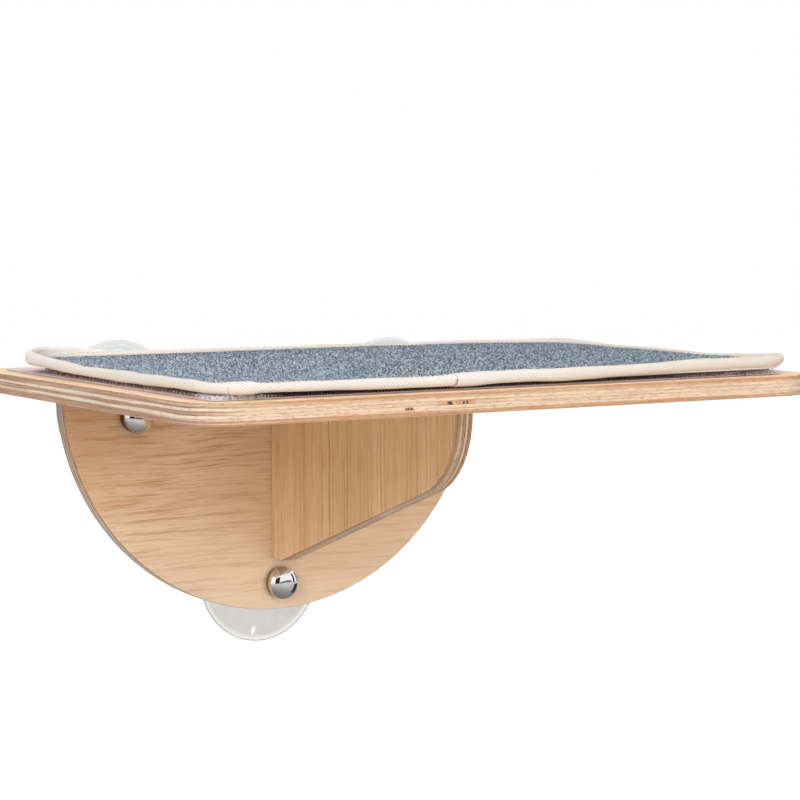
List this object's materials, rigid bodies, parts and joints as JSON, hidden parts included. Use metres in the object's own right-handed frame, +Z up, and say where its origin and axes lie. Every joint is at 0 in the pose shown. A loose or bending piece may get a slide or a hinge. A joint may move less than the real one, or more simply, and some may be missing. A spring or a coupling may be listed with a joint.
{
  "type": "cat window perch",
  "caption": "Plywood window shelf for a cat, on a half-round back plate and sloping bracket, held to the pane by suction cups, with a bound carpet mat on hook-and-loop strips.",
  "frame": {"origin": "on the window pane, in the perch's mirror plane, at the height of the shelf's underside", "axes": "+Y into the pane, +Z up, +X to the right for someone in the room who looks at the window"},
  "size_m": [0.4, 0.318, 0.196],
  "materials": {
    "board_plywood": "sanded plywood, clear satin coat",
    "plate_plywood": "oak-like veneer, clear satin coat",
    "bracket_plywood": "oak-like veneer, clear satin coat",
    "clear_vinyl": "clear soft PVC",
    "stud_steel": "plain steel",
    "cap_nut_chrome": "polished chrome",
    "screw_zinc": "zinc plated",
    "hook_tape": "woven nylon with hooks",
    "loop_tape": "woven nylon with loops",
    "carpet_pile": "short cut pile, heathered",
    "binding_cotton": "twill tape"
  },
  "bodies": {
    "perch": {"shelf_board": "board_plywood", "back_plate": "plate_plywood", "bracket": "bracket_plywood", "suction_cup_upper_left": "clear_vinyl", "suction_cup_upper_right": "clear_vinyl", "suction_cup_lower": "clear_vinyl", "cup_stud_upper_left": "stud_steel", "cup_stud_upper_right": "stud_steel", "cup_stud_lower": "stud_steel", "shelf_to_bracket_screw_1": "screw_zinc", "shelf_to_bracket_screw_2": "screw_zinc", "shelf_to_bracket_screw_3": "screw_zinc", "shelf_to_plate_screw_left": "screw_zinc", "shelf_to_plate_screw_right": "screw_zinc", "plate_to_bracket_screw_1": "screw_zinc", "plate_to_bracket_screw_2": "screw_zinc", "hook_tape_left": "hook_tape", "hook_tape_right": "hook_tape", "hook_tape_front": "hook_tape", "hook_tape_back": "hook_tape"},
    "mat": {"mat_carpet": "carpet_pile", "mat_binding": "binding_cotton", "loop_tape_left": "loop_tape", "loop_tape_right": "loop_tape", "loop_tape_front": "loop_tape", "loop_tape_back": "loop_tape"},
    "nut_upper_left": {"cap_nut_upper_left": "cap_nut_chrome"},
    "nut_upper_right": {"cap_nut_upper_right": "cap_nut_chrome"},
    "nut_lower": {"cap_nut_lower": "cap_nut_chrome"}
  },
  "joints": [
    {"name": "mat_lift", "type": "slide", "parent": "perch", "child": "mat", "axis": [0, 0, 1], "range_m": [0, 0.06]},
    {"name": "nut_upper_left_spin", "type": "hinge", "parent": "perch", "child": "nut_upper_left", "pos_m": [-0.1, -0.0303, -0.02], "axis": [0, -1, 0], "continuous": true},
    {"name": "nut_upper_right_spin", "type": "hinge", "parent": "perch", "child": "nut_upper_right", "pos_m": [0.1, -0.0303, -0.02], "axis": [0, -1, 0], "continuous": true},
    {"name": "nut_lower_spin", "type": "hinge", "parent": "perch", "child": "nut_lower", "pos_m": [0, -0.0303, -0.131], "axis": [0, -1, 0], "continuous": true}
  ]
}
